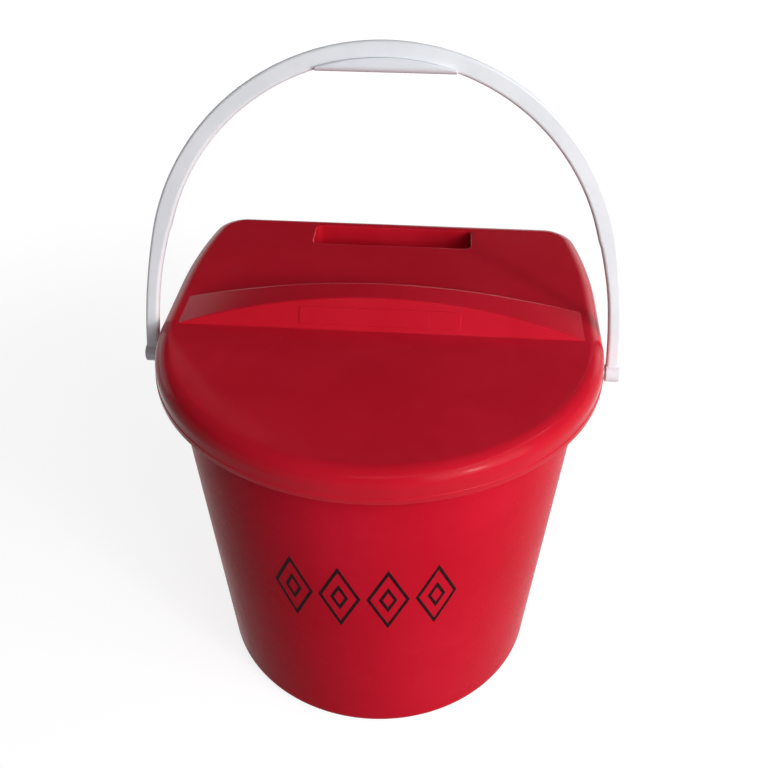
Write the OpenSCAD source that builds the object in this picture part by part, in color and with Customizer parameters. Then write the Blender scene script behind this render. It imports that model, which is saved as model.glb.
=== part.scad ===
// Fire bucket with a flat back, a lift-off lid and a swinging bail.
// Millimetres, +Z up. The origin is the middle of the base's underside on the axis of the
// round front. The front faces -Y and the flat back faces +Y.

/* [Bucket] */
// Height of the rim above the floor
bucket_h = 286.7; // [240:0.1:340]
// Outer radius of the round front just above the rounded edge of the base
base_r = 125.6; // [110:0.1:132]
// Outer radius of the round front at the rim
rim_r = 148.7; // [140:0.1:165]
// Distance from the axis to the flat back just above the rounded edge of the base
base_back = 147; // [130:0.5:152]
// Distance from the axis to the flat back at the rim
rim_back = 157; // [155:0.5:170]
// Radius of the rear corners at the base, seen from above
base_corner_r = 35; // [20:1:45]
// Radius of the rear corners at the rim, seen from above
rim_corner_r = 26; // [20:1:40]
// Length of the straight side behind the round front
side_len = 60; // [40:1:80]
// Radius of the gentle curve that draws the sides in towards the rear corners
side_r = 400; // [330:5:600]
// Thickness of the moulded wall
wall = 2.3; // [1.8:0.1:3]
// Thickness of the base plate
base_t = 3; // [2:0.1:5]
// Height of the ring that the bucket stands on
foot_h = 2.5; // [1.5:0.1:5]
// Width of the ring that the bucket stands on
foot_w = 7; // [4:0.5:12]
// Rounding where the wall meets the base
base_edge_r = 9; // [5:0.5:12]

/* [Rolled rim] */
// How far the rolled rim stands out from the wall
roll_w = 7.7; // [6:0.1:12]
// Height of the rolled rim from its top to its lower edge
roll_h = 14; // [10:0.5:18]

/* [Ears] */
// Depth of the bail's pivot below the rim
pivot_drop = 27.2; // [26:0.1:40]
// Radius of the moulded ear round the pivot
ear_r = 9; // [7:0.5:12]
// Free space between the ear and the plane of the lid's skirt
ear_gap = 1.5; // [0.5:0.1:3]
// Depth of the blind bore in the ear
bore_depth = 6.5; // [4:0.1:7]

/* [Lid] */
// Free space between the rolled rim and the inside of the lid
lid_fit = 0.6; // [0.4:0.1:1.5]
// Free space between the top of the rim and the underside of the lid
seat_gap = 0.3; // [0.2:0.05:0.5]
// Thickness of the lid's top
lid_t = 3; // [2:0.1:4]
// Thickness of the lid's skirt
skirt_t = 2.5; // [2:0.1:4]
// Height of the lid from the lower edge of its skirt to its flat top
lid_h = 22.5; // [18:0.5:24]
// Radius of the rounded shoulder between the top and the skirt
shoulder_r = 12; // [10:0.5:13]
// Height of the thicker band along the skirt's lower edge
bead_h = 4.5; // [2:0.5:8]
// How far that band stands out from the skirt
bead_t = 0.5; // [0.2:0.1:1]

/* [Lid ridge] */
// Height of the arched lifting ridge at its middle
ridge_h = 20; // [10:1:30]
// Half of the ridge's length along X
ridge_half = 145; // [100:1:148]
// Distance of the ridge's front edge in front of the axis
ridge_front = 6; // [0:0.5:20]
// Depth of the ridge from its front edge to its rear edge
ridge_depth = 37; // [25:0.5:60]
// How far the sloping front face leans back at the ridge's middle
ridge_setback = 13; // [5:0.5:20]
// How far the rear face leans forward at the ridge's middle
ridge_rear_lean = 2; // [1:0.5:6]

/* [Lid pocket] */
// Width of the finger pocket near the back of the lid
pocket_w = 128; // [80:1:160]
// Distance from the axis to the pocket's front edge
pocket_front = 121; // [100:0.5:130]
// Size of the pocket from front to back
pocket_len = 30; // [15:0.5:30]
// Depth of the pocket below the lid's top
pocket_depth = 20; // [10:0.5:24]
// Rounding of the pocket's corners, seen from above
pocket_r = 5; // [2:0.5:8]

/* [Bail] */
// Radius of the gently curved legs, measured on the outside of the strap
leg_r = 435; // [380:5:500]
// Angle that each leg turns through before the top arc takes over, in degrees
leg_sweep = 12.3; // [10:0.1:16]
// Free space between the leg's foot and the lid's skirt
leg_gap = 3.2; // [2.5:0.1:6]
// Width of the strap at its feet, seen from the front
strap_w = 9.5; // [6:0.5:12]
// How much wider the strap is along the top arc than at its feet
strap_gain = 3; // [0:0.5:4]
// Thickness of the strap, seen from the side
strap_t = 7; // [5:0.5:10]
// Rounding of the strap's long edges
strap_edge_r = 2.4; // [1:0.1:2.4]
// Lean of the bail behind the upright at rest, in degrees
bail_lean = 15; // [0:1:20]
// Radius of the round eye at the foot of each leg
eye_r = 6.5; // [5.5:0.5:7]
// How far the eye stands out past the strap on each side
eye_step = 0.3; // [0.2:0.1:1]
// Radius of the pivot peg
peg_r = 4; // [3:0.1:5]
// Radial clearance of the peg in its bore
peg_fit = 0.1; // [0.05:0.01:0.1]
// Free space between the end of the peg and the bottom of its bore
peg_end_gap = 0.5; // [0.3:0.1:1]
// Radius of the collar between the leg and the ear
collar_r = 4.8; // [4:0.1:5]
// Free space between the collar and the ear
collar_gap = 0.5; // [0.3:0.1:1]

/* [Hand grip] */
// Half of the grip's length along X
grip_half = 47; // [35:1:55]
// Depth of the grip's flat underside below the strap, at the middle
grip_drop = 8; // [6:0.5:14]
// Width of the grip, seen from the side
grip_t = 15; // [12:0.5:24]
// Rounding of the grip's lower edges
grip_edge_r = 5; // [2:0.5:6]
// Height of the grip's lips along the faces of the strap
lip_h = 1.8; // [1:0.1:4]
// Clearance of the strap in the grip's groove
grip_fit = 0.08; // [0.04:0.01:0.15]

/* [Hidden] */
// Steps in the round front, in a corner, in a side, in a rounding and along the strap
front_steps = 56;
corner_steps = 7;
side_steps = 4;
round_steps = 5;
leg_steps = 8;
arc_steps = 60;
// Facets of the large arcs of the ridge and of the grip
arc_fn = 240;
// Angles along the strap between which it grows from its feet's width to the arc's
gain_from = 6.5;
gain_to = 16;
// How far a cut runs past the face that it opens
past = 1;
$fn = 96;

red = [0.72, 0.06, 0.10];
dark_red = [0.62, 0.05, 0.09];
white = [0.93, 0.94, 0.95];
shade_white = [0.86, 0.88, 0.91];

// The rolled rim is a little narrower along the flat back than round the front
back_tuck = 1.3;
// The lid's rear corners are a little rounder than the wall's
corner_ease = 2;
roll_half = rim_r + roll_w;
roll_back = rim_back + roll_w - back_tuck;
lid_inner_half = roll_half + lid_fit;
lid_wrap = lid_fit + skirt_t;
lid_half = roll_half + lid_wrap;
lid_back = roll_back + lid_wrap;
lid_under = bucket_h + seat_gap;
lid_top = lid_under + lid_t;
lid_low = lid_top - lid_h;
lid_side_r = side_r + lid_half - rim_r;
lid_corner_r = rim_corner_r + corner_ease;
inner_shoulder_r = shoulder_r - skirt_t;
// The rim is rolled a little tighter than the inside of the lid's shoulder that covers it
roll_r = inner_shoulder_r - seat_gap;

pivot_z = bucket_h - pivot_drop;
ear_face = lid_inner_half - ear_gap;
bore_r = peg_r + peg_fit;
bore_floor = ear_face - bore_depth;
leg_out = lid_half + bead_t + leg_gap + strap_w;
leg_in = leg_out - strap_w;

// The top arc carries both curved legs on, so its centre lies where the legs' last radii meet
leg_cx = leg_out - leg_r;
arc_r = leg_r + leg_cx / cos(leg_sweep);
arc_cz = -leg_cx * tan(leg_sweep);
arc_in = arc_r - strap_w - strap_gain;
grip_low = arc_cz + arc_in - grip_drop;

// Outline of the bucket's plan: round front, straight sides that draw in, rounded rear corners
function side_angle(back, corner, turn_r) =
    asin((back - corner - side_len) / (turn_r - corner));
function right_side(half, back, corner, turn_r) =
    let (a = side_angle(back, corner, turn_r),
         cx = half - turn_r + (turn_r - corner) * cos(a),
         cy = side_len + (turn_r - corner) * sin(a))
    concat(
        [for (i = [0:side_steps])
            let (t = a * i / side_steps)
            [half - turn_r + turn_r * cos(t), side_len + turn_r * sin(t)]],
        [for (i = [1:corner_steps])
            let (t = a + (90 - a) * i / corner_steps)
            [cx + corner * cos(t), cy + corner * sin(t)]]);
function mirrored(points) = [for (i = [len(points) - 1:-1:0]) [-points[i][0], points[i][1]]];
function plan(half, back, corner, turn_r) =
    let (side = right_side(half, back, corner, turn_r))
    concat(
        [for (i = [0:front_steps])
            let (t = 180 + 180 * i / front_steps) [half * cos(t), half * sin(t)]],
        side, mirrored(side));

// The same outlines at four places, drawn in by d all round
function base_plan(d) = plan(base_r - d, base_back - d, base_corner_r - d, side_r - d);
function rim_plan(d) = plan(rim_r - d, rim_back - d, rim_corner_r - d, side_r - d);
function roll_plan(d) = plan(roll_half - d, roll_back - d, lid_corner_r - lid_wrap - d, side_r - d);
function lid_plan(d) = plan(lid_half - d, lid_back - d, lid_corner_r - d, lid_side_r - d);

// Corner rounding: how far in and how far down each step of a quarter circle lies
function quarter(r, i) = [r * (1 - cos(90 * i / round_steps)), r * (1 - sin(90 * i / round_steps))];

// Closed solid through a row of rings with equally many points
module skin(rings) {
    n = len(rings[0]);
    last = len(rings) - 1;
    polyhedron(
        points = [for (ring = rings, p = ring) p],
        faces = concat(
            [[for (i = [0:n - 1]) i]],
            [[for (i = [n - 1:-1:0]) last * n + i]],
            [for (k = [0:last - 1], i = [0:n - 1])
                let (a = k * n + i, b = k * n + (i + 1) % n) [a, a + n, b + n]],
            [for (k = [0:last - 1], i = [0:n - 1])
                let (a = k * n + i, b = k * n + (i + 1) % n) [a, b + n, b]]));
}

// The same through a stack of flat outlines: each ring is [height, points]
module loft(rings) { skin([for (ring = rings) [for (p = ring[1]) [p[0], p[1], ring[0]]]]); }

// Tapered solid inside the wall's outer face (d = 0) or inner face (d = wall)
module body_form(d, floor_z, edge_r, top_z) {
    loft(concat(
        [for (i = [round_steps:-1:0])
            let (q = quarter(edge_r, i)) [floor_z + q[1], base_plan(d + q[0])]],
        [[top_z, rim_plan(d)]]));
}

// Rings of a solid with upright sides and a rounded top edge
module roll_form(d, low_z, top_z, r) {
    loft(concat([[low_z, roll_plan(d)]],
        [for (i = [0:round_steps])
            let (q = quarter(r, i)) [top_z - q[1], roll_plan(d + q[0])]]));
}

module lid_form(d, low_z, top_z, r) {
    loft(concat([[low_z, lid_plan(d)]],
        [for (i = [0:round_steps])
            let (q = quarter(r, i)) [top_z - q[1], lid_plan(d + q[0])]]));
}

module along_x(x0, x1, r) {
    translate([x0, 0, pivot_z]) rotate([0, 90, 0]) cylinder(h = x1 - x0, r = r);
}

// Ear: a round boss on the wall with a rib that runs up into the rolled rim
module ear() {
    ear_root = base_r;
    inside = wall / 2;
    along_x(ear_root, ear_face, ear_r);
    translate([0, ear_r, 0]) rotate([90, 0, 0]) linear_extrude(2 * ear_r)
        polygon(concat(
            [[ear_root, bucket_h - inside], [ear_root, pivot_z], [roll_half - inside, pivot_z]],
            [for (i = [0:round_steps])
                let (q = quarter(roll_r - inside, i))
                [roll_half - inside - q[0], bucket_h - inside - q[1]]]));
}

module both_sides() {
    children();
    mirror([1, 0, 0]) children();
}

module bucket() {
    color(red) difference() {
        union() {
            body_form(0, 0, base_edge_r, bucket_h - wall / 2);
            difference() {
                roll_form(0, bucket_h - roll_h, bucket_h, roll_r);
                roll_form(wall, bucket_h - roll_h - past, bucket_h - wall, roll_r - wall);
            }
            both_sides() ear();
        }
        body_form(wall, foot_h + base_t, base_edge_r - wall, bucket_h + past);
        translate([0, 0, -past]) linear_extrude(foot_h + past)
            polygon(base_plan(base_edge_r + foot_w));
        both_sides() along_x(bore_floor, ear_face + past, bore_r);
    }
}

// Arched ridge, drawn in by d: an arc over its length, cut by a sloping front and a steep rear
module ridge_form(d, low_z) {
    ridge_r = (ridge_half * ridge_half + ridge_h * ridge_h) / (2 * ridge_h);
    over = 1.3;
    tall = ridge_h * over;
    front_d = d * sqrt(1 + pow(ridge_setback / ridge_h, 2));
    front_y = -ridge_front + front_d;
    rear_y = ridge_depth - ridge_front - d;
    intersection() {
        translate([0, 0, lid_top + ridge_h - ridge_r]) rotate([90, 0, 0])
            cylinder(h = 4 * ridge_depth, r = ridge_r - d, center = true, $fn = arc_fn);
        translate([-ridge_half - past, 0, 0]) rotate([90, 0, 90])
            linear_extrude(2 * (ridge_half + past))
            polygon([[front_y, low_z], [rear_y, low_z], [rear_y, lid_top],
                     [rear_y - ridge_rear_lean * over, lid_top + tall],
                     [front_y + ridge_setback * over, lid_top + tall],
                     [front_y, lid_top]]);
    }
}

// Pocket with rounded corners, drawn out by d
module pocket_form(d, low_z, top_z) {
    r = pocket_r + d;
    x = pocket_w / 2 + d;
    y0 = pocket_front - d;
    y1 = pocket_front + pocket_len + d;
    corners = [[x - r, y1 - r, 0], [r - x, y1 - r, 90], [r - x, y0 + r, 180], [x - r, y0 + r, 270]];
    translate([0, 0, low_z]) linear_extrude(top_z - low_z)
        polygon([for (c = corners, i = [0:corner_steps])
            let (t = c[2] + 90 * i / corner_steps) [c[0] + r * cos(t), c[1] + r * sin(t)]]);
}

module lid() {
    color(dark_red) difference() {
        union() {
            difference() {
                union() {
                    lid_form(0, lid_low, lid_top, shoulder_r);
                    ridge_form(0, lid_under);
                }
                lid_form(skirt_t, lid_low - past, lid_under, inner_shoulder_r);
                ridge_form(skirt_t, lid_under - past);
            }
            difference() {
                translate([0, 0, lid_low]) linear_extrude(bead_h) polygon(lid_plan(-bead_t));
                translate([0, 0, lid_low - past]) linear_extrude(bead_h + 2 * past)
                    polygon(lid_plan(skirt_t / 2));
            }
            pocket_form(skirt_t, lid_top - pocket_depth - skirt_t, lid_under + past);
        }
        pocket_form(0, lid_top - pocket_depth, lid_top + past);
    }
}

// Width of the strap where it has turned by t from a foot: it grows inward, above the lid
function strap_width(t) =
    let (s = min(1, max(0, (min(t, 180 - t) - gain_from) / (gain_to - gain_from))))
    strap_w + strap_gain * s * s * (3 - 2 * s);

// Section of a strap w wide, grown by g, with rounded long edges: how far out of its outer curve, and Y
function strap_section(w, g) =
    let (e = strap_edge_r, u0 = -w - g, v = strap_t / 2 + g,
         corners = [[g - e, v - e, 0], [u0 + e, v - e, 90], [u0 + e, e - v, 180], [g - e, e - v, 270]])
    [for (c = corners, i = [0:round_steps])
        let (t = c[2] + 90 * i / round_steps) [c[0] + e * cos(t), c[1] + e * sin(t)]];

// Stations along the strap from foot to foot: centre X, centre Z, radius of the outer curve, angle
function strap_stations() = concat(
    [for (i = [0:leg_steps - 1]) [leg_cx, 0, leg_r, leg_sweep * i / leg_steps]],
    [for (i = [0:arc_steps])
        [0, arc_cz, arc_r, leg_sweep + (180 - 2 * leg_sweep) * i / arc_steps]],
    [for (i = [leg_steps - 1:-1:0]) [-leg_cx, 0, leg_r, 180 - leg_sweep * i / leg_steps]]);

module strap(g = 0) {
    skin([for (s = strap_stations())
        [for (p = strap_section(strap_width(s[3]), g))
            [s[0] + (s[2] + p[0]) * cos(s[3]), p[1], s[1] + (s[2] + p[0]) * sin(s[3])]]]);
}

// Places a piece drawn upright about the pivot where the bail leans at rest
module on_bail() { translate([0, 0, pivot_z]) rotate([-bail_lean, 0, 0]) children(); }

// Eye, collar and peg at the foot of a leg
module foot() {
    rotate([0, 90, 0]) {
        translate([0, 0, leg_in - eye_step]) cylinder(h = strap_w + 2 * eye_step, r = eye_r);
        translate([0, 0, ear_face + collar_gap]) cylinder(h = leg_in - ear_face, r = collar_r);
        translate([0, 0, bore_floor + peg_end_gap]) cylinder(h = leg_in - bore_floor, r = peg_r);
    }
}

module bail() {
    color(white) on_bail() {
        strap();
        both_sides() foot();
    }
}

// Grip: fills the arch to a flat underside, with a groove that takes the strap's inner edge
module grip() {
    section_half = grip_t / 2;
    e = grip_edge_r;
    top = arc_cz + arc_r;
    color(shade_white) on_bail() difference() {
        intersection() {
            translate([0, 0, arc_cz]) rotate([90, 0, 0])
                cylinder(h = 2 * grip_t, r = arc_in + lip_h, center = true, $fn = arc_fn);
            translate([-grip_half, 0, 0]) rotate([90, 0, 90]) linear_extrude(2 * grip_half)
                polygon(concat(
                    [[section_half, top], [-section_half, top]],
                    [for (i = [0:corner_steps])
                        let (t = 180 + 90 * i / corner_steps)
                        [e - section_half + e * cos(t), grip_low + e + e * sin(t)]],
                    [for (i = [0:corner_steps])
                        let (t = 270 + 90 * i / corner_steps)
                        [section_half - e + e * cos(t), grip_low + e + e * sin(t)]]));
        }
        strap(grip_fit);
    }
}

bucket();
lid();
bail();
grip();
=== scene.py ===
"""Fire bucket with a flat back, a lift-off lid and a swinging bail, dressed over its frame."""

import math

import bmesh
import bpy
import numpy as np
from mathutils import Matrix, Vector


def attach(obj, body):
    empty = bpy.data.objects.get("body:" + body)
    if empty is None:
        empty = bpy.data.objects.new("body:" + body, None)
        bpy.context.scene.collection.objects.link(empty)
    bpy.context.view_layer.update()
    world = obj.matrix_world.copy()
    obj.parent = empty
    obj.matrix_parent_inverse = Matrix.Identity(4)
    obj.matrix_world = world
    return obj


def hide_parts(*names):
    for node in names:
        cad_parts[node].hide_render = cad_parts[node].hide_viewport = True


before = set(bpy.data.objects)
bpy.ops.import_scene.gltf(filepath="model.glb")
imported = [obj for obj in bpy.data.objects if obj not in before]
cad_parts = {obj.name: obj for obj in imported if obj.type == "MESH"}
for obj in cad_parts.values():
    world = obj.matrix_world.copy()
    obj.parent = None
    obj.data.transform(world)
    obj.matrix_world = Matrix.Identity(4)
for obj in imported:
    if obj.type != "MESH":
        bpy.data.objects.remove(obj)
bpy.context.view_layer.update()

bl_info = {
    "name": "Fire Bucket",
    "version": (1, 0, 0),
    "blender": (4, 5, 0),
    "location": "View3D > Sidebar > Fire Bucket",
    "description": "Builds a moulded fire bucket with its lid and bail, and a plain studio",
    "category": "Add Mesh",
}

QUARTER = math.pi / 2

# Small roundings and reliefs of the mouldings: metres, unless it says share
FINE_EDGE = 0.0006  # chamfer of the bucket's plain edges
ROLL_ROOT = 0.001  # where the wall turns out into the rolled rim
ROLL_REACH = 0.0079  # how far in the roll's top is rounded before it meets the wall
ROLL_CORNER = 0.0011  # how much tighter the roll turns at the rear corners
RIM_LIP = 0.0005  # rounding of the rim's inner edge
RIM_DROP = 0.002  # where the inner wall starts below the rim
EAR_TOP = 0.009  # how far below the rim the ear's root ends
EAR_EDGE = 0.0008  # rounding of the ear's face
BORE_LEAD = 0.0005  # chamfer at the mouth of a bore
OVERCUT = 0.002  # how far a cutting tool reaches past the face it opens
# How far in and how far up each corner of the lid's lower outer edge lies
SKIRT_EDGE = ((0.0, 0.0008), (0.0003, 0.0002), (0.0009, 0.0))
SKIRT_LIP = 0.0004  # chamfer of the skirt's inner edge
PANEL_CORNER = 0.0016  # rounding of the bare panel's corners
# How far in the panel's edge runs at which share of its height
PANEL_EDGE = ((0.0, 0.5), (0.0001, 0.85), (0.0003, 1.0))
RIDGE_CREST, RIDGE_REAR, RIDGE_FOOT = 0.0022, 0.0032, 0.0015  # largest roundings of the ridge
RIDGE_TIP, HOLLOW_TIP = 0.00006, 0.0012  # least height of the ridge and of the hollow under it
HOLLOW_ROUND = 0.35  # share of the ridge's roundings that the hollow under it has
FOOT_LIFT = 1e-5  # keeps the ridge's foot off the lid's flat top
PEG_TIP = 0.0005  # chamfer at the tip of a peg
COLLAR_EDGE = 0.0003  # chamfer of a collar
COLLAR_ROOT = 0.0002  # fillet where the collar meets the eye
EYE_EDGE = 0.0009  # rounding of the eye's rims
GRIP_END = 0.0006  # rounding of the grip's ends
GRIP_LIP = 0.0011  # rounding of the grip's lips
PRINT_ROOT = 0.0001  # how deep the print's edges reach into the wall

# Angles in degrees between which the strap grows from its feet's width to the arc's
GAIN_FROM, GAIN_TO = 6.5, 16.0

# Camera fitted to the photograph: place, pitch and turn in degrees, shift in pixels
CAMERA_PLACE = (0.04744, -0.59612, 0.683)
CAMERA_PITCH, CAMERA_TURN = 90 - 36.56, 4.55
CAMERA_LENS, SENSOR_WIDTH = 46.875, 36
CAMERA_SHIFT, PICTURE_WIDTH = 4.5, 768

# Lamps: name, place, width and height, watts, tint
LAMP_AIM = (0, 0, 0.2)
WARM, PLAIN = (1.0, 0.99, 0.98), (1.0, 1.0, 1.0)
LAMPS = (
    ("Key", (1.38, -1.16, 0.90), (1.6, 1.2), 26, WARM),
    ("Key core", (1.31, -1.24, 0.88), (0.25, 0.25), 9, WARM),
    ("Strip front", (0.43, -1.19, 1.50), (1.5, 0.05), 3.8, PLAIN),
    ("Strip right", (1.23, -0.33, 1.50), (1.5, 0.05), 3.2, PLAIN),
    ("Rear left", (-1.34, 1.34, 0.62), (2.0, 0.8), 6.5, PLAIN),
    ("Rear right", (0.85, 1.75, 0.62), (2.0, 0.8), 8.0, PLAIN),
)

# Tone of the room in reflections, and the slopes of view between which it takes over from white
ROOM_TONE = (0.062, 0.064, 0.068, 1)
WHITE_BELOW, ROOM_ABOVE = 0.05, 0.32
# Glow of the floor, and how it rises to white between two distances from the middle, in metres
FLOOR_GLOW, WHITE_GLOW = 0.82, 1.0
GLOW_NEAR, GLOW_FAR = 0.6, 1.8
FLOOR_HALF = 6


def length(name, description, default):
    """A size in metres that a user can change."""
    return bpy.props.FloatProperty(
        name=name, description=description, default=default, min=0.0, unit="LENGTH", precision=5)


def colour(name, description, default):
    """A linear colour that a user can change."""
    return bpy.props.FloatVectorProperty(
        name=name, description=description, default=default, size=3, min=0.0, max=1.0,
        subtype="COLOR")


class BucketSizes(bpy.types.PropertyGroup):
    """Sizes of the bucket's moulding."""

    height: length("Height", "Height of the rim above the floor", 0.2867)
    base_radius: length("Base radius", "Radius of the round front at the base", 0.1256)
    rim_radius: length("Rim radius", "Radius of the round front at the rim", 0.1487)
    base_back: length("Back at the base",
                      "Distance from the axis to the flat back at the base", 0.147)
    rim_back: length("Back at the rim", "Distance from the axis to the flat back at the rim", 0.157)
    base_corner: length("Base corner", "Radius of the rear corners at the base", 0.035)
    rim_corner: length("Rim corner", "Radius of the rear corners at the rim", 0.026)
    side_length: length("Straight side",
                        "Length of the straight side behind the round front", 0.060)
    side_curve: length("Side curve", "Radius that draws the sides in towards the rear", 0.400)
    wall: length("Wall", "Thickness of the moulded wall", 0.0023)
    floor: length("Floor", "Thickness of the base plate", 0.003)
    foot_height: length("Foot height", "Height of the ring that the bucket stands on", 0.0025)
    foot_width: length("Foot width", "Width of the ring that the bucket stands on", 0.007)
    base_edge: length("Base edge", "Rounding where the wall meets the base", 0.009)
    roll_width: length("Roll width", "How far the rolled rim stands out from the wall", 0.0077)
    roll_height: length("Roll height", "Height of the rolled rim", 0.014)
    roll_round: length("Roll rounding", "Rounding of the rolled rim", 0.0092)
    back_tuck: length("Back tuck", "How much narrower the roll is along the flat back", 0.0013)
    pivot_drop: length("Pivot drop", "Depth of the bail's pivot below the rim", 0.0272)
    ear_radius: length("Ear radius", "Radius of the ear round the pivot", 0.009)
    ear_face: length("Ear face", "Distance from the axis to the face of the ear", 0.1555)
    bore_radius: length("Bore radius", "Radius of the blind bore in the ear", 0.0041)
    bore_depth: length("Bore depth", "Depth of the blind bore in the ear", 0.0065)


class LidSizes(bpy.types.PropertyGroup):
    """Sizes of the lid's moulding."""

    top: length("Top", "Height of the lid's flat top above the floor", 0.290)
    height: length("Height", "Height of the lid from its lower edge to its flat top", 0.0225)
    half_width: length("Half width", "Radius of the lid's round front", 0.1595)
    back: length("Back", "Distance from the axis to the lid's flat back", 0.1665)
    corner: length("Corner", "Radius of the lid's rear corners", 0.028)
    side_curve: length("Side curve",
                       "Radius that draws the lid's sides in towards the rear", 0.4108)
    thickness: length("Thickness", "Thickness of the lid's top", 0.003)
    skirt: length("Skirt", "Thickness of the lid's skirt", 0.0025)
    shoulder: length("Shoulder", "Radius of the rounded shoulder", 0.012)
    bead_height: length("Bead height", "Height of the thicker band along the lower edge", 0.0045)
    bead: length("Bead", "How far that band stands out", 0.0005)
    ridge_height: length("Ridge height", "Height of the arched ridge at its middle", 0.020)
    ridge_half: length("Ridge half length", "Half of the ridge's length", 0.145)
    ridge_front: length("Ridge front",
                        "Distance of the ridge's front edge in front of the axis", 0.006)
    ridge_depth: length("Ridge depth", "Depth of the ridge from front to rear", 0.037)
    ridge_setback: length("Ridge setback", "How far the front face leans back", 0.013)
    ridge_lean: length("Ridge lean", "How far the rear face leans forward", 0.002)
    panel_half: length("Panel half length", "Half of the bare panel's length", 0.0575)
    panel_low: length("Panel low edge", "Lower edge of the bare panel above the lid's top", 0.003)
    panel_high: length("Panel high edge",
                       "Upper edge of the bare panel above the lid's top", 0.0135)
    panel_proud: length("Panel proud", "How far the bare panel stands out", 0.0004)
    pocket_width: length("Pocket width", "Width of the finger pocket", 0.128)
    pocket_front: length("Pocket front", "Distance from the axis to the pocket's front edge", 0.121)
    pocket_length: length("Pocket length", "Size of the pocket from front to back", 0.030)
    pocket_depth: length("Pocket depth", "Depth of the pocket", 0.020)
    pocket_corner: length("Pocket corner", "Rounding of the pocket's corners", 0.005)


class BailSizes(bpy.types.PropertyGroup):
    """Sizes of the bail and its hand grip."""

    pivot: length("Pivot", "Height of the pivot above the floor", 0.2595)
    leg_curve: length("Leg curve", "Radius of the gently curved legs", 0.435)
    leg_sweep: bpy.props.FloatProperty(
        name="Leg sweep", description="Angle that a leg turns through before the top arc",
        default=math.radians(12.3), unit="ROTATION")
    half_width: length("Half width",
                       "Distance from the axis to the outside of a leg's foot", 0.1727)
    strap_width: length("Strap width",
                        "Width of the strap at its feet, seen from the front", 0.0095)
    strap_gain: length("Strap gain", "How much wider the strap is along the top arc", 0.003)
    strap_depth: length("Strap depth", "Thickness of the strap seen from the side", 0.007)
    strap_round: length("Strap rounding", "Rounding of the strap's long edges", 0.0024)
    eye_radius: length("Eye radius", "Radius of the eye at the foot of a leg", 0.0065)
    eye_step: length("Eye step", "How far the eye stands out past the strap", 0.0003)
    peg_radius: length("Peg radius", "Radius of the pivot peg", 0.004)
    collar_radius: length("Collar radius", "Radius of the collar between leg and ear", 0.0048)
    collar_gap: length("Collar gap", "Free space between collar and ear", 0.0005)
    peg_gap: length("Peg gap", "Free space at the end of the peg", 0.0005)
    lean: bpy.props.FloatProperty(
        name="Lean", description="Lean of the bail behind the upright at rest",
        default=math.radians(15), unit="ROTATION")
    grip_half: length("Grip half length", "Half of the grip's length", 0.047)
    grip_drop: length("Grip drop", "Depth of the grip's underside below the strap", 0.008)
    grip_width: length("Grip width", "Width of the grip seen from the side", 0.015)
    grip_edge: length("Grip edge", "Rounding of the grip's lower edges", 0.005)
    grip_lip: length("Grip lip", "Height of the grip's lips along the strap", 0.0018)
    grip_fit: length("Grip fit", "Clearance of the strap in the grip's groove", 0.00008)


class PrintSizes(bpy.types.PropertyGroup):
    """Sizes of the row of lozenges on the front."""

    count: bpy.props.IntProperty(
        name="Lozenges", description="How many lozenges stand in the row", default=4, min=1, max=8)
    row_width: length("Row width", "Width of the whole row along the wall", 0.131)
    gap: length("Gap", "Gap between two lozenges", 0.004)
    low: length("Lower edge", "Height of the row's lower edge above the floor", 0.126)
    high: length("Upper edge", "Height of the row's upper edge above the floor", 0.190)
    line: length("Line", "Width of a printed line", 0.0023)
    band: length("Band", "Distance from the outer line's outside to the inner line's inside", 0.010)
    film: length("Film", "How far the print stands proud of the wall", 0.00012)


class Colours(bpy.types.PropertyGroup):
    """Colours of the mouldings, the print and the floor."""

    bucket_red: colour("Bucket red", "Base colour of the bucket", (0.62, 0.008, 0.025))
    lid_red: colour("Lid red", "Base colour of the lid", (0.61, 0.010, 0.026))
    bail_white: colour("Bail white", "Base colour of the bail", (0.87, 0.89, 0.93))
    grip_white: colour("Grip white", "Base colour of the hand grip", (0.84, 0.87, 0.92))
    print_black: colour("Print black", "Colour of the printed lines", (0.009, 0.004, 0.005))
    floor: colour("Floor", "Colour of the floor", (0.34, 0.34, 0.34))


# ---- Meshes ----

def plan(half, back, corner, turn, straight):
    """Outline of the plan: round front, straight sides that draw in, rounded rear corners."""
    lean = math.asin((back - corner - straight) / (turn - corner))
    front = [(half * math.cos(t), half * math.sin(t))
             for t in np.linspace(math.pi, 2 * math.pi, 129)]
    side = [(half, straight * i / 6) for i in range(1, 6)]
    side += [(half - turn + turn * math.cos(t), straight + turn * math.sin(t))
             for t in np.linspace(0, lean, 13)]
    cx = half - turn + (turn - corner) * math.cos(lean)
    cy = straight + (turn - corner) * math.sin(lean)
    side += [(cx + corner * math.cos(t), cy + corner * math.sin(t))
             for t in np.linspace(lean, QUARTER, 15)[1:]]
    rear = [(cx * (1 - i / 6), back) for i in range(1, 12)]
    return np.array(front + side + rear + [(-x, y) for x, y in reversed(side)])


def at_height(outline, z):
    """A flat outline as a ring of points at height z."""
    return np.column_stack([outline, np.full(len(outline), z)])


def mesh_object(name, points, faces):
    """A new mesh object with outward faces."""
    mesh = bpy.data.meshes.new(name)
    mesh.from_pydata([tuple(map(float, p)) for p in points], [], faces)
    made = bmesh.new()
    made.from_mesh(mesh)
    bmesh.ops.remove_doubles(made, verts=made.verts, dist=1e-7)
    bmesh.ops.recalc_face_normals(made, faces=made.faces)
    made.to_mesh(mesh)
    made.free()
    item = bpy.data.objects.new(name, mesh)
    bpy.context.scene.collection.objects.link(item)
    return item


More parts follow.
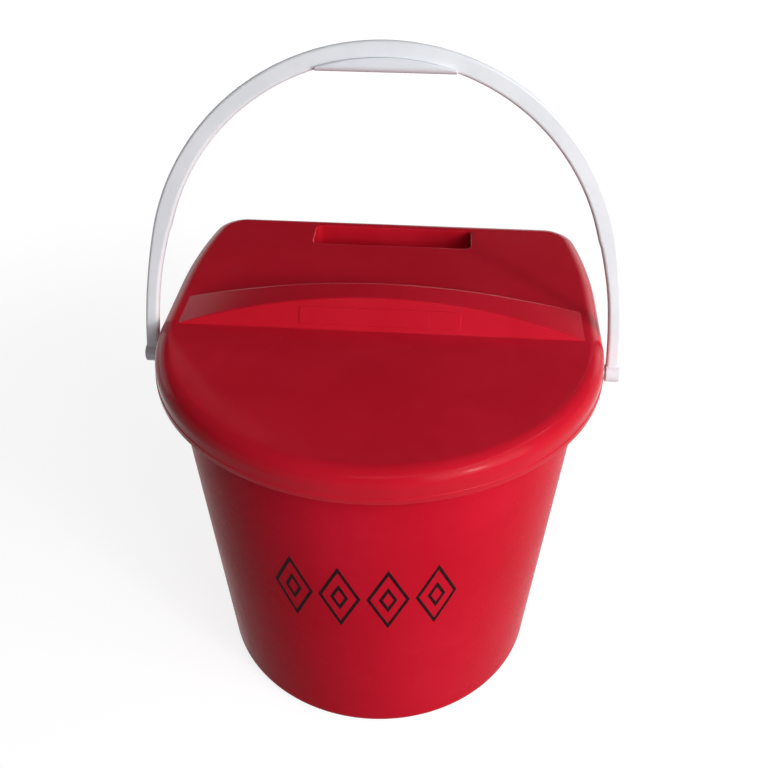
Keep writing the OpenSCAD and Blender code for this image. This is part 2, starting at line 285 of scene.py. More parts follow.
def skin(name, rings):
    """A solid through a row of rings with equally many points, closed at both ends."""
    n, last = len(rings[0]), len(rings) - 1
    faces = [(k * n + i, k * n + (i + 1) % n, (k + 1) * n + (i + 1) % n, (k + 1) * n + i)
             for k in range(last) for i in range(n)]
    faces += [tuple(range(n))[::-1], tuple(range(last * n, (last + 1) * n))]
    return mesh_object(name, np.vstack(rings), faces)


def turned(name, profile, start, along, count):
    """A turned piece: the profile holds pairs of distance along the axis and radius."""
    along = Vector(along).normalized()
    side = along.orthogonal().normalized()
    other = along.cross(side)
    rings = [[Vector(start) + along * d + (side * math.cos(t) + other * math.sin(t)) * r
              for t in np.linspace(0, 2 * math.pi, count + 1)[:-1]] for d, r in profile]
    return skin(name, [np.array(ring) for ring in rings])


def cut_or_join(target, tool, operation):
    """Cuts the tool from the target or joins it on, and removes the tool."""
    modifier = target.modifiers.new(operation.title(), "BOOLEAN")
    modifier.operation = operation
    modifier.solver = "EXACT"
    modifier.object = tool
    graph = bpy.context.evaluated_depsgraph_get()
    graph.update()
    mesh = bpy.data.meshes.new_from_object(target.evaluated_get(graph))
    target.modifiers.remove(modifier)
    old = target.data
    target.data = mesh
    bpy.data.meshes.remove(old)
    bpy.data.objects.remove(tool)


def smooth(item, degrees=38):
    """Smooth shading with crisp edges over the given angle and flat faces kept flat."""
    for polygon in item.data.polygons:
        polygon.use_smooth = True
    item.data.set_sharp_from_angle(angle=math.radians(degrees))
    weighted = item.modifiers.new("Weighted normals", "WEIGHTED_NORMAL")
    weighted.keep_sharp = True
    weighted.weight = 60


def finish_piece(item, body, material, slot, *nodes):
    """Gives a piece its material, lets it ride on its body and stand for its nodes; the slot is not
    used.
    """
    item.data.materials.clear()
    item.data.materials.append(material)
    if nodes:
        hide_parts(*nodes)
    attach(item, body)


def rounding(radius, steps):
    """A quarter round from the side to the top: how far in, how far down."""
    return [(radius * (1 - math.cos(t)), radius * (1 - math.sin(t)))
            for t in np.linspace(0, QUARTER, steps + 1)]


# ---- Materials ----

class Recipe:
    """A material under construction: its nodes, links and shader."""

    def __init__(self, name):
        self.material = bpy.data.materials.new(name)
        self.material.use_nodes = True
        self.nodes = self.material.node_tree.nodes
        self.links = self.material.node_tree.links
        self.shader = self.nodes["Principled BSDF"]
        self.place = self.nodes.new("ShaderNodeTexCoord").outputs["Object"]

    def stretched(self, scale, turn=(0, 0, 0)):
        """Object coordinates stretched along the axes."""
        mapping = self.nodes.new("ShaderNodeMapping")
        mapping.inputs["Scale"].default_value = scale
        mapping.inputs["Rotation"].default_value = turn
        self.links.new(self.place, mapping.inputs["Vector"])
        return mapping.outputs["Vector"]

    def noise(self, scale, detail=3.0, rough=0.5, place=None, warp=0.0):
        """A noise texture's value."""
        node = self.nodes.new("ShaderNodeTexNoise")
        node.inputs["Scale"].default_value = scale
        node.inputs["Detail"].default_value = detail
        node.inputs["Roughness"].default_value = rough
        node.inputs["Distortion"].default_value = warp
        self.links.new(place or self.place, node.inputs["Vector"])
        return node.outputs["Fac"]

    def ramp(self, value, low, high, out_low=0.0, out_high=1.0):
        """Maps a value's range to another, clamped."""
        node = self.nodes.new("ShaderNodeMapRange")
        node.clamp = True
        for key, number in zip(("From Min", "From Max", "To Min", "To Max"),
                               (low, high, out_low, out_high)):
            node.inputs[key].default_value = number
        self.links.new(value, node.inputs["Value"])
        return node.outputs["Result"]

    def maths(self, kind, first, second):
        """A maths node over two sockets or numbers."""
        node = self.nodes.new("ShaderNodeMath")
        node.operation = kind
        for socket, value in zip(node.inputs, (first, second)):
            if isinstance(value, (int, float)):
                socket.default_value = value
            else:
                self.links.new(value, socket)
        return node.outputs["Value"]

    def blend(self, share, first, second):
        """A colour mixed from two colours by a share."""
        node = self.nodes.new("ShaderNodeMix")
        node.data_type = "RGBA"
        self.links.new(share, node.inputs["Factor"])
        for key, value in (("A", first), ("B", second)):
            socket = [s for s in node.inputs if s.name == key and s.type == "RGBA"][0]
            if isinstance(value, tuple):
                socket.default_value = (*value, 1.0)
            else:
                self.links.new(value, socket)
        return [s for s in node.outputs if s.type == "RGBA"][0]

    def bump(self, height, depth, strength=1.0, under=None):
        """A bump of the given depth in metres, over another one."""
        node = self.nodes.new("ShaderNodeBump")
        node.inputs["Strength"].default_value = strength
        node.inputs["Distance"].default_value = depth
        self.links.new(height, node.inputs["Height"])
        if under:
            self.links.new(under, node.inputs["Normal"])
        return node.outputs["Normal"]

    def use(self, **sockets):
        """Sets or links the shader's sockets."""
        for key, value in sockets.items():
            socket = self.shader.inputs[key.replace("_", " ")]
            if isinstance(value, (int, float, tuple)):
                socket.default_value = value
            else:
                self.links.new(value, socket)


def shade(base, factor, tint=(1.0, 1.0, 1.0)):
    """A base colour made lighter or darker, with a tint."""
    return tuple(min(1.0, c * factor * t) for c, t in zip(base, tint))


def moulded_red(name, base, gloss, shine):
    """Glossy injection-moulded red plastic with flow marks, fine grain, scuffs and wear."""
    red = Recipe(name)
    cloudy = red.ramp(red.noise(9.0, 4.0, 0.55), 0.35, 0.68)
    tone = red.blend(cloudy, shade(base, 0.94), shade(base, 1.05, (1.0, 1.25, 1.2)))
    flow = red.ramp(red.noise(16.0, 2.0, 0.5, red.stretched((1.0, 1.0, 0.22)), 0.8), 0.4, 0.62)
    tone = red.blend(red.maths("MULTIPLY", flow, 0.30), tone, shade(base, 0.86, (1.0, 0.8, 0.8)))
    lines = red.noise(420.0, 2.0, 0.6, red.stretched((1.0, 0.05, 0.12), (0.3, 0.5, 0.4)))
    scratch = red.ramp(lines, 0.70, 0.76)
    scuff = red.ramp(red.noise(38.0, 6.0, 0.72, None, 0.5), 0.60, 0.74)
    worn = red.maths("MULTIPLY", scratch, red.ramp(red.noise(12.0, 2.0), 0.5, 0.62))
    tone = red.blend(red.maths("MULTIPLY", worn, 0.16), tone, shade(base, 1.2, (1.0, 6.0, 4.0)))
    tone = red.blend(red.maths("MULTIPLY", scuff, 0.06), tone, shade(base, 1.1, (1.0, 5.0, 4.0)))
    rough = red.ramp(red.noise(24.0, 5.0, 0.6), 0.3, 0.7, gloss - 0.02, gloss + 0.04)
    rough = red.maths("ADD", rough, red.maths("MULTIPLY", scuff, 0.10))
    rough = red.maths("ADD", rough, red.maths("MULTIPLY", worn, 0.12))
    sink = red.bump(red.noise(26.0, 1.0, 0.4), 0.00035, 0.35)
    peel = red.bump(red.noise(300.0, 2.0, 0.5), 0.000035, 0.45, sink)
    grain = red.bump(red.noise(1800.0, 1.0, 0.5), 0.000012, 0.35, peel)
    red.use(Base_Color=tone, Roughness=rough, Normal=red.bump(worn, 0.00003, -0.5, grain),
            Specular_IOR_Level=shine, IOR=1.5)
    return red.material


def moulded_white(name, base, gloss):
    """Smooth white moulded plastic, a little translucent, with soft flow marks and hand soiling."""
    white = Recipe(name)
    cloudy = white.ramp(white.noise(22.0, 3.0, 0.5), 0.35, 0.7)
    tone = white.blend(cloudy, shade(base, 0.96, (0.99, 1.0, 1.01)), shade(base, 1.03))
    soil = white.ramp(white.noise(60.0, 6.0, 0.7, None, 0.7), 0.58, 0.80)
    tone = white.blend(white.maths("MULTIPLY", soil, 0.16), tone,
                       shade(base, 0.62, (1.0, 0.97, 0.9)))
    nicks = white.ramp(white.noise(500.0, 2.0, 0.6, white.stretched((0.2, 1.0, 0.1))), 0.70, 0.78)
    tone = white.blend(white.maths("MULTIPLY", nicks, 0.12), tone, shade(base, 0.55))
    rough = white.ramp(white.noise(45.0, 4.0, 0.6), 0.3, 0.7, gloss - 0.04, gloss + 0.06)
    rough = white.maths("ADD", rough, white.maths("MULTIPLY", soil, 0.15))
    wave = white.bump(white.noise(70.0, 2.0, 0.4), 0.00008, 0.4)
    grain = white.bump(white.noise(1500.0, 2.0, 0.5), 0.000012, 0.35, wave)
    white.use(Base_Color=tone, Roughness=rough, Normal=white.bump(nicks, 0.00003, -0.5, grain),
              Specular_IOR_Level=0.45, IOR=1.5, Subsurface_Weight=0.08,
              Subsurface_Radius=(0.004, 0.004, 0.0045), Subsurface_Scale=0.6)
    return white.material


def printed_black(name, base):
    """Screen-printed black ink: a thin, slightly uneven film with worn spots."""
    ink = Recipe(name)
    uneven = ink.ramp(ink.noise(240.0, 4.0, 0.6), 0.35, 0.65)
    tone = ink.blend(uneven, base, shade(base, 2.4, (1.6, 1.0, 1.0)))
    worn = ink.ramp(ink.noise(700.0, 3.0, 0.7), 0.66, 0.74)
    tone = ink.blend(ink.maths("MULTIPLY", worn, 0.5), tone, (0.16, 0.008, 0.014))
    rough = ink.ramp(ink.noise(160.0, 3.0), 0.3, 0.7, 0.40, 0.55)
    ink.use(Base_Color=tone, Roughness=rough, Normal=ink.bump(ink.noise(1400.0), 0.00002, 0.4),
            Specular_IOR_Level=0.02, IOR=1.5)
    return ink.material


def seen(nodes, links):
    """Share of rays that look at the background: camera, glossy and transmission rays."""
    path = nodes.new("ShaderNodeLightPath")
    total = path.outputs["Is Camera Ray"]
    for key in ("Is Glossy Ray", "Is Transmission Ray"):
        node = nodes.new("ShaderNodeMath")
        node.operation = "ADD"
        node.use_clamp = True
        links.new(total, node.inputs[0])
        links.new(path.outputs[key], node.inputs[1])
        total = node.outputs["Value"]
    return total


def studio_floor(name, base):
    """Pale matt floor that keeps the object's shadow and glows white away from it."""
    floor = Recipe(name)
    glow = floor.maths("MULTIPLY", seen(floor.nodes, floor.links), FLOOR_GLOW)
    away = floor.nodes.new("ShaderNodeVectorMath")
    away.operation = "LENGTH"
    floor.links.new(floor.place, away.inputs[0])
    camera_ray = floor.nodes.new("ShaderNodeLightPath").outputs["Is Camera Ray"]
    rise = floor.ramp(away.outputs["Value"], GLOW_NEAR, GLOW_FAR, 0.0, WHITE_GLOW - FLOOR_GLOW)
    glow = floor.maths("ADD", glow, floor.maths("MULTIPLY", camera_ray, rise))
    tone = floor.blend(floor.ramp(floor.noise(3.0, 4.0), 0.3, 0.7), shade(base, 0.985), base)
    rough = floor.ramp(floor.noise(40.0, 4.0), 0.3, 0.7, 0.72, 0.86)
    floor.use(Base_Color=tone, Roughness=rough, Specular_IOR_Level=0.1,
              Normal=floor.bump(floor.noise(220.0), 0.0001, 0.15),
              Emission_Color=(1.0, 1.0, 1.0, 1.0), Emission_Strength=glow)
    return floor.material


# ---- Operators ----

def sizes_of(context, group):
    """The scene's sizes of one group."""
    return getattr(context.scene, group)


def wall_radius(s, z):
    """Radius of the bucket's round front at height z."""
    slope = (s.rim_radius - s.base_radius) / (s.height - s.wall / 2 - s.base_edge)
    return s.base_radius + slope * (z - s.base_edge)


class FIREBUCKET_OT_bucket(bpy.types.Operator):
    """Moulds the bucket: tapered wall, base with its standing ring, rolled rim and two ears"""

    bl_idname = "fire_bucket.bucket"
    bl_label = "Bucket"

    def execute(self, context):
        s = sizes_of(context, "bucket_sizes")
        base = lambda d: plan(s.base_radius - d, s.base_back - d, s.base_corner - d,
                              s.side_curve - d, s.side_length)
        rim = lambda d: plan(s.rim_radius - d, s.rim_back - d, s.rim_corner - d,
                             s.side_curve - d, s.side_length)
        roll_half, roll_back = s.rim_radius + s.roll_width, s.rim_back + s.roll_width - s.back_tuck
        roll = lambda d: plan(roll_half - d, roll_back - d, s.rim_corner - ROLL_CORNER - d,
                              s.side_curve - d, s.side_length)

        def wall(d, z):
            share = (z - s.base_edge) / (s.height - s.wall / 2 - s.base_edge)
            return at_height(base(d) * (1 - share) + rim(d) * share, z)

        rings = [at_height(base(s.base_edge + s.foot_width), s.foot_height),
                 at_height(base(s.base_edge + s.foot_width), FINE_EDGE),
                 at_height(base(s.base_edge + s.foot_width - FINE_EDGE), 0.0)]
        rings += [at_height(base(i), down) for i, down in reversed(rounding(s.base_edge, 14))]
        ceiling = s.height - s.wall
        rings += [wall(0, z) for z in np.linspace(s.base_edge, ceiling - ROLL_ROOT, 15)[1:]]
        rings += [at_height(rim(-ROLL_ROOT), ceiling)]
        inner_round = s.roll_round - s.wall
        rings += [at_height(roll(s.wall + i), ceiling - down)
                  for i, down in reversed(rounding(inner_round, 8))]
        low = s.height - s.roll_height
        rings += [at_height(roll(s.wall), low + FINE_EDGE),
                  at_height(roll(s.wall - FINE_EDGE), low),
                  at_height(roll(FINE_EDGE), low), at_height(roll(0), low + FINE_EDGE)]
        rings += [at_height(roll(i), s.height - down)
                  for i, down in rounding(s.roll_round, 14) if i < ROLL_REACH]
        rings += [at_height(rim(s.wall - RIM_LIP), s.height - RIM_LIP / 5),
                  at_height(rim(s.wall), s.height - FINE_EDGE)]
        floor_z = s.foot_height + s.floor
        inner_edge = s.base_edge - s.wall
        rings += [wall(s.wall, z)
                  for z in np.linspace(s.height - RIM_DROP, floor_z + inner_edge, 15)]
        rings += [at_height(base(s.wall + i), floor_z + down)
                  for i, down in rounding(inner_edge, 12)[1:]]
        bucket = skin("bucket_shell", rings)

        pivot = s.height - s.pivot_drop
        for side in (1, -1):
            outline = [(s.ear_radius * math.sin(t), pivot - s.ear_radius * math.cos(t))
                       for t in np.linspace(-QUARTER, QUARTER, 25)]
            outline += [(s.ear_radius, s.height - EAR_TOP), (-s.ear_radius, s.height - EAR_TOP)]
            rings = []
            for out, inset in ((None, 0.0), (s.ear_face - EAR_EDGE, 0.0),
                               (s.ear_face - EAR_EDGE / 4, EAR_EDGE / 4), (s.ear_face, EAR_EDGE)):
                ring = []
                for y, z in outline:
                    root = wall_radius(s, z) - s.wall / 2
                    pull = 1 - inset / s.ear_radius
                    ring.append((side * (root if out is None else out), y * pull,
                                 pivot + (z - pivot) * pull if z < pivot else z))
                rings.append(np.array(ring))
            cut_or_join(bucket, skin("ear", rings), "UNION")
            floor_x = s.ear_face - s.bore_depth
            bore = turned("bore", [(0, s.bore_radius), (s.bore_depth - BORE_LEAD, s.bore_radius),
                                   (s.bore_depth + OVERCUT, s.bore_radius + BORE_LEAD + OVERCUT)],
                          (side * floor_x, 0, pivot), (side, 0, 0), 48)
            cut_or_join(bucket, bore, "DIFFERENCE")
        smooth(bucket)
        red = moulded_red("Moulded red bucket", tuple(context.scene.bucket_colours.bucket_red),
                          gloss=0.26, shine=0.009)
        finish_piece(bucket, "bucket", red, "red_plastic", "bucket")
        return {"FINISHED"}


def ridge_section(s, height, inset, low):
    """One section of the arched ridge: front face, rounded crest, top, rounded rear, rear face."""
    slant = math.hypot(1, s.ridge_setback / s.ridge_height)
    front = lambda z: -s.ridge_front + inset * slant + s.ridge_setback / s.ridge_height * z
    rear = lambda z: s.ridge_depth - s.ridge_front - inset - s.ridge_lean / s.ridge_height * z
    top = height - inset
    tighter = HOLLOW_ROUND if inset else 1.0
    crest = min(RIDGE_CREST, 0.3 * height) * tighter
    back = min(RIDGE_REAR, 0.3 * height) * tighter
    foot = min(RIDGE_FOOT, 0.2 * height) if not inset else 0.0
    rise = math.atan2(s.ridge_height, s.ridge_setback)
    points = [(front(0) - foot * math.tan(rise / 2), low)] if foot else [(front(low), low)]
    if foot:
        cy, cz = front(0) - foot * math.tan(rise / 2), foot
        points += [(cy + foot * math.sin(t), cz - foot * math.cos(t) + FOOT_LIFT)
                   for t in np.linspace(0, rise, 5)]
    else:
        points += [(front(low + (top - low) * i / 6), low + (top - low) * i / 6)
                   for i in range(1, 6)]
    reach = crest * math.tan(rise / 2)
    cy, cz = front(top) + reach, top - crest
    points += [(cy + crest * math.sin(t), cz + crest * math.cos(t))
               for t in np.linspace(-rise, 0, 7)]
    down = math.atan2(s.ridge_height, s.ridge_lean)
    reach = back * math.tan(down / 2)
    cy, cz = rear(top) - reach, top - back
    points += [(cy + back * math.sin(t), cz + back * math.cos(t))
               for t in np.linspace(0, down, 9)]
    points += [(rear(low), low)]
    return points


def ridge_solid(s, name, inset, low):
    """The arched ridge, or the hollow under it, as a solid."""
    radius = (s.ridge_half ** 2 + s.ridge_height ** 2) / (2 * s.ridge_height)
    arch = lambda x: s.ridge_height - radius + math.sqrt(radius ** 2 - x * x)
    least = RIDGE_TIP if not inset else inset + HOLLOW_TIP
    end = math.sqrt(radius ** 2 - (radius - s.ridge_height + least) ** 2)
    rings = []
    for x in end * np.sin(np.linspace(-QUARTER, QUARTER, 97)):
        section = ridge_section(s, max(arch(x), least), inset, low)
        rings.append(np.array([(x, y, s.top + z) for y, z in section]))
    return skin(name, rings)


def pocket_solid(s, name, grow, low, high, floor_round, mouth_round):
    """The pocket's space or its tub, with a rounded floor and a flared mouth."""
    def outline(d):
        r = s.pocket_corner + grow + d
        x, y0 = s.pocket_width / 2 + grow + d, s.pocket_front - grow - d
        y1 = s.pocket_front + s.pocket_length + grow + d
        centres = [(x - r, y1 - r, 0), (r - x, y1 - r, 1), (r - x, y0 + r, 2), (x - r, y0 + r, 3)]
        return np.array([(cx + r * math.cos(t), cy + r * math.sin(t)) for cx, cy, k in centres
                         for t in np.linspace(k * QUARTER, (k + 1) * QUARTER, 13)])
    rings = [at_height(outline(-i), low + down) for i, down in reversed(rounding(floor_round, 6))]
    if mouth_round:
        rings += [at_height(outline(mouth_round * (1 - math.cos(t))),
                            s.top - mouth_round * (1 - math.sin(t)))
                  for t in np.linspace(0, math.radians(86), 7)]
        rings += [at_height(outline(mouth_round), high)]
    else:
        rings += [at_height(outline(0), high)]
    return skin(name, rings)


class FIREBUCKET_OT_lid(bpy.types.Operator):
    """Moulds the lid: flat top, skirt with its bead, arched ridge, bare panel, finger pocket"""

    bl_idname = "fire_bucket.lid"
    bl_label = "Lid"

    def execute(self, context):
        s = sizes_of(context, "lid_sizes")
        straight = sizes_of(context, "bucket_sizes").side_length
        outline = lambda d: plan(s.half_width - d, s.back - d, s.corner - d, s.side_curve - d,
                                 straight)
        low, under = s.top - s.height, s.top - s.thickness
        inner = s.shoulder - s.skirt
        rings = [at_height(outline(i), s.top - down)
                 for i, down in reversed(rounding(s.shoulder, 20))]
        rings += [at_height(outline(0), low + s.bead_height + s.bead),
                  at_height(outline(-s.bead * 0.5), low + s.bead_height + s.bead * 0.2),
                  at_height(outline(-s.bead), low + s.bead_height - s.bead * 0.3)]
        rings += [at_height(outline(-s.bead + into), low + up) for into, up in SKIRT_EDGE]
        rings += [at_height(outline(s.skirt - SKIRT_LIP), low),
                  at_height(outline(s.skirt), low + SKIRT_LIP)]
        rings += [at_height(outline(s.skirt + i), under - down) for i, down in rounding(inner, 12)]
        lid = skin("lid_shell", rings)
        cut_or_join(lid, ridge_solid(s, "ridge", inset=0.0, low=-0.0012), "UNION")
        cut_or_join(lid, ridge_solid(s, "hollow", inset=s.skirt, low=-0.006), "DIFFERENCE")
        floor_z = s.top - s.pocket_depth
        tub = pocket_solid(s, "tub", grow=s.skirt, low=floor_z - s.skirt, high=under + 0.001,
                           floor_round=0.003, mouth_round=0.0)
        cut_or_join(lid, tub, "UNION")
        pocket = pocket_solid(s, "pocket", grow=0.0, low=floor_z, high=s.top + 0.004,
                              floor_round=0.002, mouth_round=0.0014)
        cut_or_join(lid, pocket, "DIFFERENCE")
        smooth(lid, degrees=42)
        red = moulded_red("Moulded red lid", tuple(context.scene.bucket_colours.lid_red),
                          gloss=0.15, shine=0.06)
        finish_piece(lid, "lid", red, "dark_red_plastic", "lid")

        rise = Vector((0, s.ridge_setback, s.ridge_height)).normalized()
        out = Vector((0, -s.ridge_height, s.ridge_setback)).normalized()
        foot = Vector((0, -s.ridge_front, s.top))
        low_t = s.panel_low / rise.z
        high_t = s.panel_high / rise.z
        middle, half = (low_t + high_t) / 2, (high_t - low_t) / 2
        rings = []
        levels = [(0.0, -FINE_EDGE)] + [(d, s.panel_proud * share) for d, share in PANEL_EDGE]
        for d, lift in levels:
            ring = []
            r = PANEL_CORNER - d
            for k, (sx, sy) in enumerate(((1, 1), (-1, 1), (-1, -1), (1, -1))):
                for t in np.linspace(k * QUARTER, (k + 1) * QUARTER, 9):
                    x = sx * (s.panel_half - d - r) + r * math.cos(t)
                    v = middle + sy * (half - d - r) + r * math.sin(t)
                    ring.append(foot + Vector((x, 0, 0)) + rise * v + out * lift)
            rings.append(np.array(ring))
        panel = skin("ridge_panel", rings)
        smooth(panel, degrees=50)
        finish_piece(panel, "lid", red, "dark_red_plastic")
        return {"FINISHED"}


def strap_stations(s):
    """Stations along the strap from foot to foot: centre X, centre Z, radius, angle."""
    leg_x = s.half_width - s.leg_curve
    arc = s.leg_curve + leg_x / math.cos(s.leg_sweep)
    arc_z = -leg_x * math.tan(s.leg_sweep)
    join = s.leg_sweep
    right = [(leg_x, 0.0, s.leg_curve, t) for t in np.linspace(0, join, 15)[:-1]]
    top = [(0.0, arc_z, arc, t) for t in np.linspace(join, math.pi - join, 121)]
    left = [(-leg_x, 0.0, s.leg_curve, math.pi - t) for _, _, _, t in reversed(right)]
    return right + top + left, arc_z, arc


def strap_width(s, angle):
    """Width of the strap where it has turned by an angle from a foot: it grows inward."""
    turned_by = math.degrees(min(angle, math.pi - angle))
    share = min(1.0, max(0.0, (turned_by - GAIN_FROM) / (GAIN_TO - GAIN_FROM)))
    return s.strap_width + s.strap_gain * share * share * (3 - 2 * share)


def leaning(s, points):
    """Points drawn upright about the pivot, leaned back to the bail's place at rest."""
    turn = Matrix.Rotation(-s.lean, 3, "X")
    pivot = Vector((0, 0, s.pivot))
    return np.array([turn @ Vector(p) + pivot for p in points])


def strap_rings(s, grow):
    """Rings of the strap's rounded section along its stations, grown all round."""
    e, side = s.strap_round, s.strap_depth / 2 + grow

    def section(angle):
        low = -strap_width(s, angle) - grow
        centres = [(grow - e, side - e, 0), (low + e, side - e, 1), (low + e, e - side, 2),
                   (grow - e, e - side, 3)]
        return [(cx + e * math.cos(t), cy + e * math.sin(t)) for cx, cy, k in centres
                for t in np.linspace(k * QUARTER, (k + 1) * QUARTER, 9)]

    stations, _, _ = strap_stations(s)
    return [leaning(s, [(cx + (r + u) * math.cos(t), v, cz + (r + u) * math.sin(t))
                        for u, v in section(t)]) for cx, cz, r, t in stations]


class FIREBUCKET_OT_bail(bpy.types.Operator):
    """Moulds the bail: arched strap with an eye, a collar and a pivot peg on each foot"""

    bl_idname = "fire_bucket.bail"
    bl_label = "Bail"

    def execute(self, context):
        s = sizes_of(context, "bail_sizes")
        b = sizes_of(context, "bucket_sizes")
        bail = skin("bail_strap", strap_rings(s, 0.0))
        inside, outside = s.half_width - s.strap_width - s.eye_step, s.half_width + s.eye_step
        bore_floor = b.ear_face - b.bore_depth
        for side in (1, -1):
            profile = [(bore_floor + s.peg_gap, s.peg_radius - PEG_TIP),
                       (bore_floor + s.peg_gap + PEG_TIP, s.peg_radius),
                       (b.ear_face + s.collar_gap, s.peg_radius),
                       (b.ear_face + s.collar_gap, s.collar_radius - COLLAR_EDGE),
                       (b.ear_face + s.collar_gap + COLLAR_EDGE, s.collar_radius),
                       (inside - COLLAR_ROOT, s.collar_radius),
                       (inside, s.collar_radius + COLLAR_ROOT),
                       (inside, s.eye_radius - EYE_EDGE)]
            profile += [(inside + down, s.eye_radius - i)
                        for i, down in reversed(rounding(EYE_EDGE, 4))]
            profile += [(outside - down, s.eye_radius - i) for i, down in rounding(EYE_EDGE, 4)]
            foot = turned("foot", profile, (0, 0, s.pivot), (side, 0, 0), 72)
            cut_or_join(bail, foot, "UNION")
        smooth(bail, degrees=40)
        white = moulded_white("Moulded white bail", tuple(context.scene.bucket_colours.bail_white),
                              gloss=0.30)
        finish_piece(bail, "bail", white, "white_plastic", "bail")
        return {"FINISHED"}


class FIREBUCKET_OT_grip(bpy.types.Operator):
    """Moulds the hand grip that is clipped under the middle of the bail"""

    bl_idname = "fire_bucket.grip"
    bl_label = "Hand grip"

    def execute(self, context):
        s = sizes_of(context, "bail_sizes")
        _, arc_z, arc = strap_stations(s)
        inner = arc - s.strap_width - s.strap_gain
        low = arc_z + inner - s.grip_drop
        rings = []
        for x in s.grip_half * np.sin(np.linspace(-QUARTER, QUARTER, 81)):
            into = max(0.0, (abs(x) - s.grip_half + GRIP_END) / GRIP_END)
            tuck = GRIP_END * (1 - math.sqrt(max(0.0, 1 - into ** 2)))
            top = arc_z + math.sqrt((inner + s.grip_lip) ** 2 - x * x) - tuck
            half, floor = s.grip_width / 2 - tuck, low + tuck
            soft, e = min(GRIP_LIP, (top - floor) * 0.25), s.grip_edge - tuck
            first = math.asin(min(1.0, max(0.0, 1 - (top - soft - floor) / e)))
            side = half - e + e * math.cos(first)
            section = [(side - soft, top), (side - soft * 0.35, top - soft * 0.25),
                       (side, top - soft)]
            section += [(half - e + e * math.cos(t), floor + e - e * math.sin(t))
                        for t in np.linspace(first, QUARTER, 11)]
            section += [(-y, z) for y, z in reversed(section)]
            rings.append(leaning(s, [(x, y, z) for y, z in section]))
        grip = skin("hand_grip", rings)
        cut_or_join(grip, skin("groove", strap_rings(s, s.grip_fit)), "DIFFERENCE")
        smooth(grip, degrees=40)
        white = moulded_white("Moulded white grip", tuple(context.scene.bucket_colours.grip_white),
                              gloss=0.34)
        finish_piece(grip, "bail", white, "grip_plastic", "grip")
        return {"FINISHED"}


class FIREBUCKET_OT_front_print(bpy.types.Operator):
    """Prints a row of plain hollow lozenges on the round front"""

    bl_idname = "fire_bucket.front_print"
    bl_label = "Front print"

    def execute(self, context):
        s = sizes_of(context, "print_sizes")
        b = sizes_of(context, "bucket_sizes")
        middle = (s.low + s.high) / 2
        half_h = (s.high - s.low) / 2
        half_w = (s.row_width - s.gap * (s.count - 1)) / s.count / 2
        inradius = half_w * half_h / math.hypot(half_w, half_h)

        def lozenge(centre, inset):
            pull = 1 - inset / inradius
            tips = [(half_w * pull, 0), (0, half_h * pull), (-half_w * pull, 0),
                    (0, -half_h * pull)]
            points = []
            for k in range(4):
                (x0, y0), (x1, y1) = tips[k], tips[(k + 1) % 4]
                points += [(centre + x0 + (x1 - x0) * i / 12, middle + y0 + (y1 - y0) * i / 12)
                           for i in range(12)]
            return points

        def on_wall(points, lift):
            made = []
            for u, z in points:
                angle = u / wall_radius(b, middle)
                r = wall_radius(b, z) + lift
                made.append((r * math.sin(angle), -r * math.cos(angle), z))
            return np.array(made)

        faces, points = [], []
        for k in range(s.count):
            centre = (k - (s.count - 1) / 2) * (2 * half_w + s.gap)
            for outer in (0.0, s.band - s.line):
                inner = outer + s.line
                loops = [on_wall(lozenge(centre, outer), -PRINT_ROOT),
                         on_wall(lozenge(centre, outer), s.film),
                         on_wall(lozenge(centre, inner), s.film),
                         on_wall(lozenge(centre, inner), -PRINT_ROOT)]
                start, n = len(points), len(loops[0])
                points += [p for loop in loops for p in loop]
                faces += [(start + a * n + i, start + a * n + (i + 1) % n,
                           start + (a + 1) % 4 * n + (i + 1) % n, start + (a + 1) % 4 * n + i)
                          for a in range(4) for i in range(n)]
        print_piece = mesh_object("front_print", points, faces)
        ink = printed_black("Printed black", tuple(context.scene.bucket_colours.print_black))
        print_piece.data.materials.append(ink)
        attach(print_piece, "bucket")
        return {"FINISHED"}


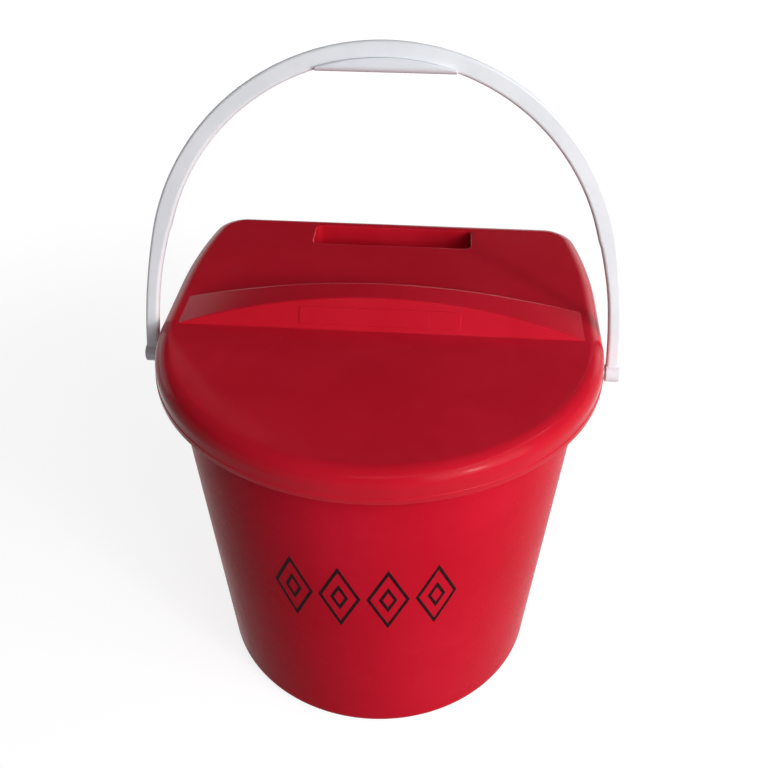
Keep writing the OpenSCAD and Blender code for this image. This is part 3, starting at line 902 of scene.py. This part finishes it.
class FIREBUCKET_OT_stage(bpy.types.Operator):
    """Sets up the pale floor, the studio lamps, the white background and the camera"""

    bl_idname = "fire_bucket.stage"
    bl_label = "Studio"

    def lamp(self, name, place, size, watts, tint):
        """An area lamp aimed at the middle of the object."""
        data = bpy.data.lights.new(name, "AREA")
        data.shape = "RECTANGLE"
        data.size, data.size_y = size
        data.energy = watts
        data.color = tint
        item = bpy.data.objects.new(name, data)
        bpy.context.scene.collection.objects.link(item)
        item.location = place
        aim = Vector(LAMP_AIM) - Vector(place)
        item.rotation_euler = aim.to_track_quat("-Z", "Y").to_euler()

    def execute(self, context):
        scene = context.scene
        half = FLOOR_HALF
        corners = [(-half, -half, 0), (half, -half, 0), (half, half, 0), (-half, half, 0)]
        floor = mesh_object("studio_floor", corners, [(0, 1, 2, 3)])
        floor.data.materials.append(studio_floor("Studio floor", tuple(scene.bucket_colours.floor)))
        for lamp in LAMPS:
            self.lamp(*lamp)

        world = bpy.data.worlds.new("Studio")
        scene.world = world
        world.use_nodes = True
        nodes, links = world.node_tree.nodes, world.node_tree.links
        nodes.clear()
        room = nodes.new("ShaderNodeBackground")
        room.inputs["Color"].default_value = ROOM_TONE
        white = nodes.new("ShaderNodeBackground")
        white.inputs["Color"].default_value = (1, 1, 1, 1)
        direction = nodes.new("ShaderNodeSeparateXYZ")
        links.new(nodes.new("ShaderNodeTexCoord").outputs["Generated"], direction.inputs[0])
        backdrop = nodes.new("ShaderNodeMapRange")
        for key, number in (("From Min", WHITE_BELOW), ("From Max", ROOM_ABOVE),
                            ("To Min", 1.0), ("To Max", 0.0)):
            backdrop.inputs[key].default_value = number
        links.new(direction.outputs["Z"], backdrop.inputs["Value"])
        reflected = nodes.new("ShaderNodeMath")
        reflected.operation = "MULTIPLY"
        links.new(seen(nodes, links), reflected.inputs[0])
        links.new(backdrop.outputs["Result"], reflected.inputs[1])
        share = nodes.new("ShaderNodeMath")
        share.operation = "ADD"
        share.use_clamp = True
        links.new(nodes.new("ShaderNodeLightPath").outputs["Is Camera Ray"], share.inputs[0])
        links.new(reflected.outputs["Value"], share.inputs[1])
        mix = nodes.new("ShaderNodeMixShader")
        output = nodes.new("ShaderNodeOutputWorld")
        links.new(share.outputs[0], mix.inputs[0])
        links.new(room.outputs[0], mix.inputs[1])
        links.new(white.outputs[0], mix.inputs[2])
        links.new(mix.outputs[0], output.inputs["Surface"])

        data = bpy.data.cameras.new("Camera")
        data.sensor_width = SENSOR_WIDTH
        data.lens = CAMERA_LENS
        data.shift_x = CAMERA_SHIFT / PICTURE_WIDTH
        camera = bpy.data.objects.new("Camera", data)
        scene.collection.objects.link(camera)
        camera.location = CAMERA_PLACE
        camera.rotation_euler = (math.radians(CAMERA_PITCH), 0, math.radians(CAMERA_TURN))
        scene.camera = camera
        scene.view_settings.view_transform = "Standard"
        return {"FINISHED"}


class FIREBUCKET_PT_panel(bpy.types.Panel):
    """Lists the pieces that can be made"""

    bl_label = "Fire Bucket"
    bl_space_type = "VIEW_3D"
    bl_region_type = "UI"
    bl_category = "Fire Bucket"

    def draw(self, context):
        for operator in OPERATORS:
            self.layout.operator(operator.bl_idname)
        for group in GROUPS:
            box = self.layout.box()
            for key in GROUPS[group].__annotations__:
                box.prop(getattr(context.scene, group), key)


GROUPS = {
    "bucket_sizes": BucketSizes,
    "lid_sizes": LidSizes,
    "bail_sizes": BailSizes,
    "print_sizes": PrintSizes,
    "bucket_colours": Colours,
}
OPERATORS = (FIREBUCKET_OT_bucket, FIREBUCKET_OT_lid, FIREBUCKET_OT_bail, FIREBUCKET_OT_grip,
             FIREBUCKET_OT_front_print, FIREBUCKET_OT_stage)


def register():
    """Registers the groups of sizes, the operators and the panel."""
    for group, kind in GROUPS.items():
        bpy.utils.register_class(kind)
        setattr(bpy.types.Scene, group, bpy.props.PointerProperty(type=kind))
    for kind in (*OPERATORS, FIREBUCKET_PT_panel):
        bpy.utils.register_class(kind)


def unregister():
    """Takes them away again."""
    for kind in (FIREBUCKET_PT_panel, *reversed(OPERATORS)):
        bpy.utils.unregister_class(kind)
    for group, kind in GROUPS.items():
        delattr(bpy.types.Scene, group)
        bpy.utils.unregister_class(kind)


def main():
    register()
    bpy.ops.fire_bucket.stage()
    bpy.ops.fire_bucket.bucket()
    bpy.ops.fire_bucket.lid()
    bpy.ops.fire_bucket.bail()
    bpy.ops.fire_bucket.grip()
    bpy.ops.fire_bucket.front_print()


if __name__ == "__main__":
    main()
